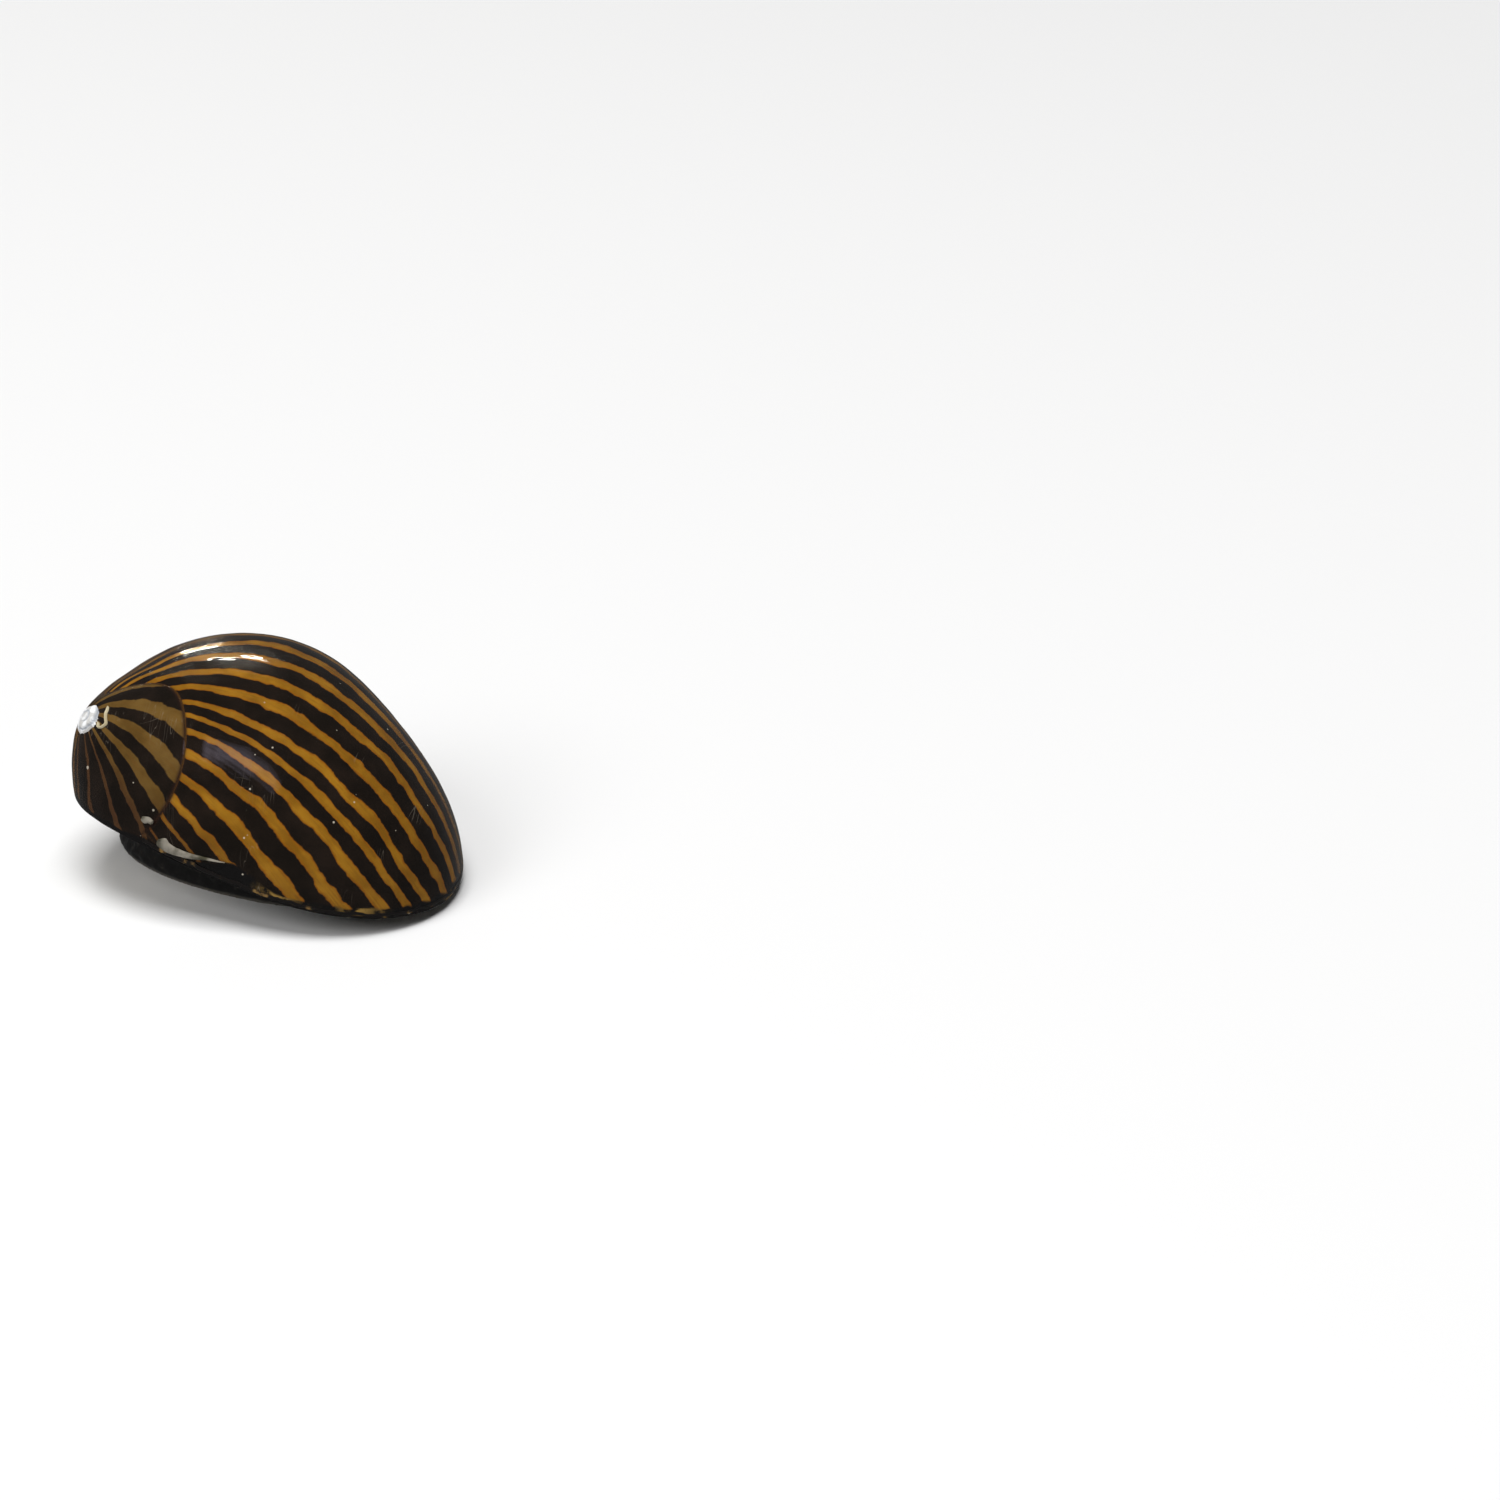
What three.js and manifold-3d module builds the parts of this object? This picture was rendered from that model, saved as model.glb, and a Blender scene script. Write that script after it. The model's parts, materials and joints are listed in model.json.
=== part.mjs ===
// Zebra nerite snail at life size: a dome shell clamped down over its foot.
// Millimetres. +X is the head end, +Y the snail's left side, +Z up.
// The floor is z = 0 and the origin lies under the middle of the outline.
import * as THREE from 'three';
import { mergeVertices } from 'three/addons/utils/BufferGeometryUtils.js';
import Module from 'manifold-3d';

const wasm = await Module();
wasm.setup();

// Driving sizes, mm and degrees.
const DOME_CENTRE = new THREE.Vector3(-0.11, -0.72, 3.17); // radii of the dome start here
const DOME_PITCH = 31.7; // the rear of the egg shape is lifted this far
const DOME_ROLL = -1.4;
const DOME_LENGTH = [12.19, 0.28]; // half length, and how it grows forwards
const DOME_WIDTH = [9.22, 0.61]; // half width, and how it grows to the left
const DOME_HEIGHT = [8.58, 1.41]; // half height, and how it grows upwards
const DOME_ROUNDNESS = 2.13; // 2 is an ellipsoid, more is fuller
const APEX_HEADING = 199; // direction of the apex seen from above
const APEX_RISE = 34; // and above the horizon
const APEX_BUMP = 0.69; // the spire stands this proud of the egg
const APEX_SPREAD = 12.7;
const SLOPE_HEADING = 34; // the front left of the crown is a little flatter
const SLOPE_RISE = 36;
const SLOPE_CUT = 0.4;
const SLOPE_SPREAD = 30;
const LIP_CLEARANCE = 0.6; // front lip above the floor
const LIP_RISE = [3.88, 0.98, 1.33, 0.8]; // the lip climbs to the rear, ever steeper
const LIP_EASE = [0.66, 20]; // where the climb levels out, and how fast
const LIP_BAND = 1.0; // height of the thickened lip
const WALL = 1.1; // shell thickness at the aperture
const GAP = 0.3; // between neighbouring parts
const SUTURE_STEP = 0.12; // the spire whorl lies lower than the body whorl
const SUTURE_FAR = 7; // spire edge behind the apex, as an angle from it
const SUTURE_RISE = 22; // how much wider it gets over the top
const SUTURE_SPREAD = 11.5; // and again down the right side
const APEX_DISC = 3.6; // worn tip, half angle
const SPIRE_INNER = 9.2; // depth the spire block starts at, from the dome centre
const RECESS_DEPTH = 3.6; // soft body reaches this far above the rim
const DECK_START = new THREE.Vector2(-5.2, -8.6); // straight inner edge of the deck
const DECK_END = new THREE.Vector2(4.2, 8.6);
const TOOTH_COUNT = 7;
const TOOTH_RADIUS = 0.45;
const SOLE_CENTRE = [-0.8, 0.3];
const SOLE_HALF = [9.6, 5.4];
const SOLE_TURN = -15; // the foot points a little to the right
const FOOT_INSET = 0.9; // soft body stays this far inside the rim
const HEAD_BACK = 6.4; // head starts here, in front of the foot
const HEAD_SIDE = -1.6; // the head lies a little to the right of the middle

// Small helpers.
const rad = THREE.MathUtils.degToRad;
const step = (x) => 1 / (1 + Math.exp(-x));
const power = (x, p) => Math.pow(Math.abs(x), p);

// A closed solid lofted through rings of equal point counts.
function loft(rings) {
  const n = rings[0].length;
  const pos = [];
  const index = [];
  const mean = (ring) => ring.reduce((a, p) => a.add(p), new THREE.Vector3()).multiplyScalar(1 / n);
  const put = (p) => pos.push(p.x, p.y, p.z);
  rings.forEach((ring) => ring.forEach(put));
  put(mean(rings[0]));
  put(mean(rings[rings.length - 1]));
  const low = rings.length * n;
  const last = (rings.length - 1) * n;
  for (let j = 0; j < n; j++) {
    const k = (j + 1) % n;
    index.push(low, k, j, low + 1, last + j, last + k);
    for (let i = 0; i + 1 < rings.length; i++) {
      const a = i * n;
      const b = a + n;
      index.push(a + j, a + k, b + k, a + j, b + k, b + j);
    }
  }
  const g = new THREE.BufferGeometry();
  g.setAttribute('position', new THREE.Float32BufferAttribute(pos, 3));
  g.setIndex(index);
  return solid(g);
}

// Geometry to a closed solid, turned outside out when it arrives inside out.
function solid(geometry) {
  const g = geometry.clone();
  g.deleteAttribute('normal');
  g.deleteAttribute('uv');
  const m = mergeVertices(g, 1e-4);
  const v = new Float32Array(m.attributes.position.array);
  const t = new Uint32Array(m.index.array);
  let volume = 0;
  const a = new THREE.Vector3();
  const b = new THREE.Vector3();
  const c = new THREE.Vector3();
  for (let i = 0; i < t.length; i += 3) {
    a.fromArray(v, t[i] * 3);
    b.fromArray(v, t[i + 1] * 3);
    c.fromArray(v, t[i + 2] * 3);
    volume += a.dot(b.cross(c));
  }
  if (volume < 0) {
    for (let i = 0; i < t.length; i += 3) [t[i], t[i + 1]] = [t[i + 1], t[i]];
  }
  return new wasm.Manifold(new wasm.Mesh({ numProp: 3, vertProperties: v, triVerts: t }));
}

// The largest closed surface of a solid, as plain geometry.
function geometryOf(body) {
  const pieces = body.decompose().sort((p, q) => q.volume() - p.volume());
  const m = pieces[0].getMesh();
  const g = new THREE.BufferGeometry();
  g.setAttribute('position', new THREE.Float32BufferAttribute(Float32Array.from(m.vertProperties), 3));
  g.setIndex(Array.from(m.triVerts));
  const flat = g.toNonIndexed();
  flat.computeVertexNormals();
  return flat;
}

function ellipsoid(x, y, z, rx, ry, rz, turn = 0, across = 20, up = 14) {
  const g = new THREE.SphereGeometry(1, across, up);
  g.rotateX(Math.PI / 2);
  g.scale(rx, ry, rz);
  g.rotateZ(rad(turn));
  g.translate(x, y, z);
  return solid(g);
}

function box(x0, x1, y0, y1, z0, z1) {
  const g = new THREE.BoxGeometry(x1 - x0, y1 - y0, z1 - z0);
  g.translate((x0 + x1) / 2, (y0 + y1) / 2, (z0 + z1) / 2);
  return solid(g);
}

// A round limb along a curve, its radius given at every point of the way.
function limb(points, radii, sides = 12, steps = 20) {
  const curve = new THREE.CatmullRomCurve3(points.map((p) => new THREE.Vector3(...p)));
  const frames = curve.computeFrenetFrames(steps, false);
  const rings = [];
  for (let i = 0; i <= steps; i++) {
    const t = i / steps;
    const seat = t * (radii.length - 1);
    const k = Math.min(Math.floor(seat), radii.length - 2);
    const r = THREE.MathUtils.lerp(radii[k], radii[k + 1], seat - k);
    const centre = curve.getPoint(t);
    const ring = [];
    for (let j = 0; j < sides; j++) {
      const a = (j / sides) * 2 * Math.PI;
      ring.push(centre.clone()
        .addScaledVector(frames.normals[i], r * Math.cos(a))
        .addScaledVector(frames.binormals[i], r * Math.sin(a)));
    }
    rings.push(ring);
  }
  return loft(rings);
}

// The egg-shaped dome.
const tilt = new THREE.Matrix4().makeRotationY(rad(DOME_PITCH))
  .multiply(new THREE.Matrix4().makeRotationX(rad(DOME_ROLL)));
const untilt = tilt.clone().invert();
function compass(heading, rise) {
  return new THREE.Vector3(
    Math.cos(rise) * Math.cos(heading),
    Math.cos(rise) * Math.sin(heading),
    Math.sin(rise),
  );
}
const apexAxis = compass(rad(APEX_HEADING), rad(APEX_RISE));
const slopeAxis = compass(rad(SLOPE_HEADING), rad(SLOPE_RISE));
const apexUp = new THREE.Vector3(0, 0, 1).addScaledVector(apexAxis, -apexAxis.z).normalize();
const apexRight = new THREE.Vector3().crossVectors(apexUp, apexAxis);

// Distance of the shell surface from the dome centre in a direction.
function domeRadius(d) {
  const e = d.clone().applyMatrix4(untilt);
  const s = power(e.x / (DOME_LENGTH[0] + DOME_LENGTH[1] * e.x), DOME_ROUNDNESS)
    + power(e.y / (DOME_WIDTH[0] + DOME_WIDTH[1] * e.y), DOME_ROUNDNESS)
    + power(e.z / (DOME_HEIGHT[0] + DOME_HEIGHT[1] * e.z), DOME_ROUNDNESS);
  const { x, y, z } = d;
  const uneven = -0.07 * x * z + 0.09 * y * z - 0.24 * x * y - 0.07 * (x * x - y * y) * z
    - 0.17 * x * (x * x - 3 * y * y) - 0.42 * y * (3 * x * x - y * y)
    - 0.05 * x * (5 * z * z - 1) + 0.21 * y * (5 * z * z - 1) + 0.2 * x * y * z;
  const away = (axis) => Math.acos(THREE.MathUtils.clamp(d.dot(axis), -1, 1));
  return Math.pow(s, -1 / DOME_ROUNDNESS) + uneven
    + APEX_BUMP * Math.exp(-((away(apexAxis) / rad(APEX_SPREAD)) ** 2))
    - SLOPE_CUT * Math.exp(-((away(slopeAxis) / rad(SLOPE_SPREAD)) ** 2));
}

// Height of the aperture rim above the floor, climbing from head to rear.
function lipHeight(x) {
  const t = (11.39 - x) / 23;
  const climb = LIP_RISE.reduce((sum, k, i) => sum + k * t ** (i + 1), LIP_CLEARANCE);
  return climb - LIP_EASE[1] * Math.max(0, t - LIP_EASE[0]) ** 2;
}

function domePoint(heading, rise, offset) {
  const d = compass(heading, rise);
  return DOME_CENTRE.clone().addScaledVector(d, domeRadius(d) - offset);
}

// The dome as a solid: the outer surface down to the rim and a floor under it.
// With a skirt the walls go on straight down past the floor.
function dome(offset = 0, skirt = false, around = 60, rows = 14) {
  const rim = [];
  const columns = [];
  for (let j = 0; j < around; j++) {
    const heading = (j / around) * 2 * Math.PI;
    let low = rad(-40);
    let high = rad(60);
    for (let k = 0; k < 40; k++) {
      const mid = (low + high) / 2;
      const p = domePoint(heading, mid, offset);
      if (p.z < lipHeight(p.x)) low = mid;
      else high = mid;
    }
    rim.push(domePoint(heading, high, offset));
    columns.push([heading, high]);
  }
  const rings = [];
  if (skirt) {
    rings.push(rim.map((p) => new THREE.Vector3(p.x, p.y, -3)));
  } else {
    for (const t of [0.3, 0.65]) {
      rings.push(rim.map((p) => {
        const q = DOME_CENTRE.clone().lerp(p, t);
        q.z = lipHeight(q.x);
        return q;
      }));
    }
  }
  for (let i = 0; i < rows; i++) {
    const t = i / rows;
    rings.push(columns.map(([heading, low]) => (
      domePoint(heading, THREE.MathUtils.lerp(low, Math.PI / 2, t), offset))));
  }
  return loft(rings);
}

// Everything below a surface that runs parallel to the aperture rim.
function belowRim(height) {
  const g = new THREE.BoxGeometry(40, 40, 1, 20, 1, 1);
  const p = g.attributes.position;
  for (let i = 0; i < p.count; i++) {
    p.setZ(i, p.getZ(i) > 0 ? lipHeight(p.getX(i)) + height : -8);
  }
  return solid(g);
}

// Everything on the aperture side of the deck edge, moved by a distance.
const deckRun = new THREE.Vector2().subVectors(DECK_END, DECK_START);
const deckTurn = Math.atan2(deckRun.y, deckRun.x);
function apertureSide(distance) {
  const g = new THREE.BoxGeometry(80, 40, 40);
  g.translate(0, -20 - distance, 0);
  g.rotateZ(deckTurn);
  g.translate(DECK_START.x, DECK_START.y, 0);
  return solid(g);
}

// The spiral edge of the spire.
// Angle of the suture from the apex; turn 0 is above the apex, 90 to the right.
function suture(turn) {
  const right = SUTURE_RISE * step((turn - 6) / 8) + SUTURE_SPREAD * step((turn - 48) / 16);
  const under = 36 * (step((turn - 111) / 3) - step((turn - 190) / 3));
  return SUTURE_FAR + right + under;
}

// A block around the apex axis whose side wall follows an angle function.
function spireBlock(edge, grow, inner, around = 72) {
  const ring = (r) => {
    const out = [];
    for (let j = 0; j < around; j++) {
      const turn = -150 + (360 * j) / around;
      const angle = rad(edge(turn)) + grow / 13;
      const side = apexUp.clone().multiplyScalar(Math.cos(rad(turn)))
        .addScaledVector(apexRight, Math.sin(rad(turn)));
      out.push(DOME_CENTRE.clone()
        .addScaledVector(apexAxis, r * Math.cos(angle))
        .addScaledVector(side, r * Math.sin(angle)));
    }
    return out;
  };
  const capped = (r) => {
    const out = [];
    for (const t of [0.33, 0.67]) {
      out.push(ring(r).map((p) => {
        const d = p.sub(DOME_CENTRE).normalize().lerp(apexAxis, 1 - t).normalize();
        return DOME_CENTRE.clone().addScaledVector(d, r);
      }));
    }
    return out;
  };
  return loft([...capped(inner), ring(inner), ring(22), ...capped(22).reverse()]);
}

// The shell.
const outer = dome();
const recess = dome(WALL, true).intersect(apertureSide(0)).intersect(belowRim(RECESS_DEPTH + GAP));
const shell = outer.subtract(recess);
const aboveLip = belowRim(LIP_BAND + GAP);
const spireCut = spireBlock(suture, GAP / 2, SPIRE_INNER - GAP);
const spireFill = spireBlock(suture, -GAP / 2, SPIRE_INNER);
const discCut = spireBlock(() => APEX_DISC, GAP / 2, SPIRE_INNER + 1.4);
const discFill = spireBlock(() => APEX_DISC, -GAP / 2, SPIRE_INNER + 1.7);

const bodyWhorl = shell.subtract(aboveLip).subtract(spireCut);
const spireWhorl = dome(SUTURE_STEP).subtract(recess).subtract(aboveLip)
  .intersect(spireFill).subtract(discCut);
const apex = dome(0.05).intersect(discFill);
const lip = shell.intersect(belowRim(LIP_BAND)).intersect(apertureSide(GAP));

// The deck: a flat shelf closing the rear left of the aperture, toothed along its edge.
let deck = outer.intersect(belowRim(LIP_BAND)).subtract(apertureSide(0));
for (let i = 0; i < TOOTH_COUNT; i++) {
  const t = 0.26 + (0.5 * i) / (TOOTH_COUNT - 1);
  const x = DECK_START.x + deckRun.x * t;
  const y = DECK_START.y + deckRun.y * t;
  const size = TOOTH_RADIUS * (i === 2 ? 1.35 : 1);
  deck = deck.add(ellipsoid(x, y, lipHeight(x) + 0.5, size, size * 0.9, 0.46, 0, 10, 8));
}

// The soft body.
// Outline of the sole, a blunt oval, scaled and cut at a height.
function soleRing(scale, z, around = 44) {
  const ring = [];
  for (let j = 0; j < around; j++) {
    const a = (j / around) * 2 * Math.PI;
    const c = Math.cos(a);
    const s = Math.sin(a);
    const r = Math.pow(power(c, 2.2) + power(s, 2.2), -1 / 2.2) * scale;
    const p = new THREE.Vector3(SOLE_HALF[0] * r * c, SOLE_HALF[1] * r * s, z);
    p.applyAxisAngle(new THREE.Vector3(0, 0, 1), rad(SOLE_TURN));
    ring.push(p.add(new THREE.Vector3(SOLE_CENTRE[0], SOLE_CENTRE[1], 0)));
  }
  return ring;
}
const spread = loft([soleRing(0.97, 0), soleRing(1, 0.25), soleRing(1, 0.6), soleRing(0.96, 1.2),
  soleRing(0.95, 2.2), soleRing(1.02, 3.6), soleRing(1.16, 5.4), soleRing(1.2, 9)]);
const foundation = spread.intersect(belowRim(-GAP)).intersect(dome(FOOT_INSET, true));
const inside = loft([soleRing(0.8, 1), soleRing(0.9, 2), soleRing(1.05, 3.5), soleRing(1.2, 9)])
  .intersect(dome(WALL + GAP, true)).intersect(apertureSide(0.9)).intersect(belowRim(RECESS_DEPTH));
const behindHead = box(-20, HEAD_BACK - GAP, -20, 20, -1, 20);

// The horny lid lies on the rear of the foot, under the deck.
const LID = { x: -5.2, y: 0.6, long: 4.1, wide: 3.0, thick: 0.6, turn: 38 };
function lidPlate(grow) {
  const half = LID.thick / 2 + grow;
  const top = belowRim(-GAP + grow);
  const under = belowRim(-GAP - LID.thick - grow);
  return ellipsoid(LID.x, LID.y, 3, LID.long + grow, LID.wide + grow, 6 + half, LID.turn, 36, 18)
    .intersect(top).subtract(under);
}
const operculum = lidPlate(0);
const foot = foundation.add(inside).intersect(behindHead).subtract(lidPlate(GAP))
  .subtract(belowRim(2).intersect(box(-20, 20, -20, 20, -9, -0.001)));

// Head and snout, drawn back under the front lip.
const headRoom = dome(WALL + GAP, true).intersect(box(HEAD_BACK, 20, -20, 20, 0.3, 20))
  .intersect(belowRim(RECESS_DEPTH));
const snoutFill = ellipsoid(8.6, HEAD_SIDE, 1.15, 1.5, 1.75, 1.0, 0, 22, 14);
const snoutCut = ellipsoid(8.6, HEAD_SIDE, 1.15, 1.5 + GAP, 1.75 + GAP, 1.0 + GAP, 0, 22, 14);
let head = ellipsoid(6.3, HEAD_SIDE, 2.3, 3.0, 3.9, 2.15, 0, 28, 18).intersect(headRoom);

const EYE_RADIUS = 0.3;
function eyeBall(side, r) {
  return ellipsoid(8.2, HEAD_SIDE + side * 2.45, 3.0, r, r, r, 0, 16, 12);
}
const eyes = [];
const stalks = [];
const feelers = [];
for (const side of [1, -1]) {
  const y0 = HEAD_SIDE;
  const root = [7.1, y0 + side * 3.1, 1.9];
  const way = side > 0
    ? [root, [8.2, 2.2, 1.5], [8.0, 3.3, 1.2], [7.2, 4.1, 1.05], [6.6, 4.9, 1.05]]
    : [root, [8.0, -5.6, 1.4], [6.8, -6.6, 1.1], [5.0, -7.0, 1.1], [3.2, -7.0, 1.3]];
  feelers.push(limb(way, [0.5, 0.42, 0.36, 0.3, 0.2]));
  const perch = [8.0, y0 + side * 2.35, 2.8];
  const stalkWay = [[6.9, y0 + side * 2.0, 2.6], [7.5, y0 + side * 2.2, 2.7], perch];
  stalks.push(limb(stalkWay, [0.6, 0.5, 0.42], 12, 6));
  eyes.push(eyeBall(side, EYE_RADIUS));
}
head = head.subtract(snoutCut);
for (const k of [0, 1]) {
  head = head.add(stalks[k].intersect(headRoom));
  head = head.subtract(eyeBall(k === 0 ? 1 : -1, EYE_RADIUS + GAP));
}
const snout = snoutFill.intersect(dome(WALL + GAP, true)).intersect(box(0, 20, -9, 9, 0.2, 9));
// Each tentacle starts a gap away from the side of the head.
const headGrown = ellipsoid(6.3, HEAD_SIDE, 2.3, 3.0 + GAP, 3.9 + GAP, 2.15 + GAP, 0, 28, 18);
const tentacles = feelers.map((f) => f.subtract(headGrown).intersect(dome(WALL + GAP, true)));

// One named node for each part.
const group = new THREE.Group();
group.name = 'nerite_snail';
function node(name, body, color, roughness, metalness = 0) {
  const material = new THREE.MeshStandardMaterial({ color, roughness, metalness });
  const mesh = new THREE.Mesh(geometryOf(body), material);
  mesh.name = name;
  group.add(mesh);
}
node('shell_body_whorl', bodyWhorl, 0x7a531d, 0.12);
node('shell_spire_whorl', spireWhorl, 0x6a4a22, 0.16);
node('shell_apex', apex, 0xe8e4da, 0.6);
node('shell_outer_lip', lip, 0x9a7434, 0.2);
node('shell_columellar_deck', deck, 0xd9d2c0, 0.25);
node('operculum', operculum, 0x4a3a30, 0.35);
node('foot', foot, 0x24201f, 0.45);
node('head', head, 0x2a2523, 0.45);
node('snout', snout, 0x35302c, 0.45);
node('tentacle_left', tentacles[0], 0x151313, 0.4);
node('tentacle_right', tentacles[1], 0x151313, 0.4);
node('eye_left', eyes[0], 0x050505, 0.08);
node('eye_right', eyes[1], 0x050505, 0.08);

export default group;
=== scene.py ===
# %% [markdown]
# # A zebra nerite on its foot
# This lesson builds the look of one snail over its imported solids. The solids give the true
# size and place of every part, and each finer piece below takes the place of some of them.

# %% [markdown]
# ## Load the solids
# The frame holds the imported solids, one object for each named part. Building round them
# keeps the finer pieces at the true size.

# %% Load the solids
import json
import math
import bpy
import numpy as np
from mathutils import Matrix, Vector, noise

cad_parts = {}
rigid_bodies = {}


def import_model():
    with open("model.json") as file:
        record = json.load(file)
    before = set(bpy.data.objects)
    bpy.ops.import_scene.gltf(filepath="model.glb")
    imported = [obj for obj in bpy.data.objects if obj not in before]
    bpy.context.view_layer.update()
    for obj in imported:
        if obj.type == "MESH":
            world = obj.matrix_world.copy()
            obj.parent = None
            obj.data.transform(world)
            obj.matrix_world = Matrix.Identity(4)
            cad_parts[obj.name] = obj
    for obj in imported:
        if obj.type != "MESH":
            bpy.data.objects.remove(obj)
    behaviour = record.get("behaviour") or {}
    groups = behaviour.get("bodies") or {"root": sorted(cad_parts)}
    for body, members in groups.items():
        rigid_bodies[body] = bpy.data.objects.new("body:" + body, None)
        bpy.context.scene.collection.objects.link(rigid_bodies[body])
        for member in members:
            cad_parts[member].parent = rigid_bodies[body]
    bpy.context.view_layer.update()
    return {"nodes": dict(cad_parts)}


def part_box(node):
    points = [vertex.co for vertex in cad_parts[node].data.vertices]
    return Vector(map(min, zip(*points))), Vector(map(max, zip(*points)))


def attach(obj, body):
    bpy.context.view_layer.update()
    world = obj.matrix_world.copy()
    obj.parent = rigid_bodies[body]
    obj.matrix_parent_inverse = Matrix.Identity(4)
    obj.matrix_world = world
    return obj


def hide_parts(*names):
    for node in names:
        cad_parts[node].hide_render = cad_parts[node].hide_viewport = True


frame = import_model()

MM = 0.001

# %% [markdown]
# ## The shell as one formula
# A nerite shell is nearly all last whorl, so its outside is an egg with a low spire on it.
# It could be sculpted by hand, but as a formula it can be drawn at any fineness. Every
# direction from a centre inside has one distance to the surface, and the same numbers drive
# the solids. They were fitted so that the outline agrees with the photo.

# %% Sizes of the shell, in millimetres and degrees
CENTRE = np.array([-0.11, -0.72, 3.17])
PITCH = 31.7
ROLL = -1.4
LENGTH = (12.19, 0.28)
WIDTH = (9.22, 0.61)
HEIGHT = (8.58, 1.41)
ROUNDNESS = 2.13
APEX_HEADING = 199
APEX_RISE = 34
APEX_BUMP = 0.69
APEX_SPREAD = 12.7
SLOPE_HEADING = 34
SLOPE_RISE = 36
SLOPE_CUT = 0.4
SLOPE_SPREAD = 30
FRONT_X = 11.39
SHELL_RUN = 23
LIP_CLEARANCE = 0.6
LIP_RISE = (3.88, 0.98, 1.33, 0.8)
LIP_EASE = (0.66, 20)
SUTURE_START = 7
SUTURE_RISES = ((22, 6, 8), (11.5, 48, 16))
SUTURE_STEP = 0.08
SKIN_DEPTH = 0.03
SEED = 11
rng = np.random.default_rng(SEED)


def unit(v):
    return v / np.linalg.norm(v, axis=-1, keepdims=True)


def compass(heading, rise):
    h = np.radians(heading)
    r = np.radians(rise)
    return np.stack([np.cos(r) * np.cos(h), np.cos(r) * np.sin(h), np.sin(r) + 0 * h], -1)


p, q = math.radians(PITCH), math.radians(ROLL)
about_y = np.array([[math.cos(p), 0, math.sin(p)], [0, 1, 0], [-math.sin(p), 0, math.cos(p)]])
about_x = np.array([[1, 0, 0], [0, math.cos(q), -math.sin(q)], [0, math.sin(q), math.cos(q)]])
TILT = about_y @ about_x
APEX = compass(APEX_HEADING, APEX_RISE)
APEX_UP = unit(np.array([0, 0, 1.0]) - APEX * APEX[2])
APEX_RIGHT = np.cross(APEX_UP, APEX)
SLOPE = compass(SLOPE_HEADING, SLOPE_RISE)
print("the apex points to", APEX.round(2))

# %% [markdown]
# The distance has four parts: a blunt egg, a slight unevenness as a real whorl has, a soft
# bump that carries the spire, and a flatter slope at the front left. The nine factors of
# the unevenness mean nothing one by one: they only bend the outline. The rim is a height
# that climbs to the rear, and the suture is the seam between spire and last whorl.


# %% Distance of the surface, height of the rim, course of the suture
def hill(d, top, spread):
    away = np.degrees(np.arccos(np.clip(d @ top, -1, 1)))
    return np.exp(-(away / spread) ** 2)


def dome_radius(d):
    e = d @ TILT
    r = ROUNDNESS
    s = np.abs(e[..., 0] / (LENGTH[0] + LENGTH[1] * e[..., 0])) ** r
    s += np.abs(e[..., 1] / (WIDTH[0] + WIDTH[1] * e[..., 1])) ** r
    s += np.abs(e[..., 2] / (HEIGHT[0] + HEIGHT[1] * e[..., 2])) ** r
    x, y, z = d[..., 0], d[..., 1], d[..., 2]
    uneven = -0.07 * x * z + 0.09 * y * z - 0.24 * x * y - 0.07 * (x * x - y * y) * z
    uneven += -0.17 * x * (x * x - 3 * y * y) - 0.42 * y * (3 * x * x - y * y)
    uneven += -0.05 * x * (5 * z * z - 1) + 0.21 * y * (5 * z * z - 1) + 0.2 * x * y * z
    bump = APEX_BUMP * hill(d, APEX, APEX_SPREAD)
    cut = SLOPE_CUT * hill(d, SLOPE, SLOPE_SPREAD)
    return s ** (-1 / r) + uneven + bump - cut


def lip_height(x):
    t = (FRONT_X - x) / SHELL_RUN
    climb = LIP_CLEARANCE + sum(k * t ** (i + 1) for i, k in enumerate(LIP_RISE))
    return climb - LIP_EASE[1] * np.maximum(0, t - LIP_EASE[0]) ** 2


def soft_step(x):
    return 1 / (1 + np.exp(-np.clip(x, -60, 60)))


def suture(turn):
    first, second = SUTURE_RISES
    out = SUTURE_START + first[0] * soft_step((turn - first[1]) / first[2])
    return out + second[0] * soft_step((turn - second[1]) / second[2])


def from_apex(reach, turn):
    a = np.radians(reach)[..., None]
    b = np.radians(turn)[..., None]
    return APEX * np.cos(a) + (APEX_UP * np.cos(b) + APEX_RIGHT * np.sin(b)) * np.sin(a)


def on_dome(d, depth=0.0):
    return CENTRE + d * (dome_radius(d) - depth)[..., None]


def rim_reach(turn):
    low = np.zeros_like(turn)
    high = np.full_like(turn, 175.0)
    for _ in range(40):
        mid = (low + high) / 2
        spot = on_dome(from_apex(mid, turn))
        above = spot[..., 2] > lip_height(spot[..., 0])
        low = np.where(above, mid, low)
        high = np.where(above, high, mid)
    return low


over_top, to_right = rim_reach(np.array([0.0, 90.0])).round(0)
print("degrees from apex to rim, over the top and to the right:", over_top, to_right)

# %% [markdown]
# ## Grids into meshes
# A surface drawn as rows and columns of points turns into four-sided faces. Numbers kept
# for each point, such as where it lies between two stripes, travel along as attributes.
# Painting on an image would need unwrapping, and numbers at the points do not.


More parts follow.
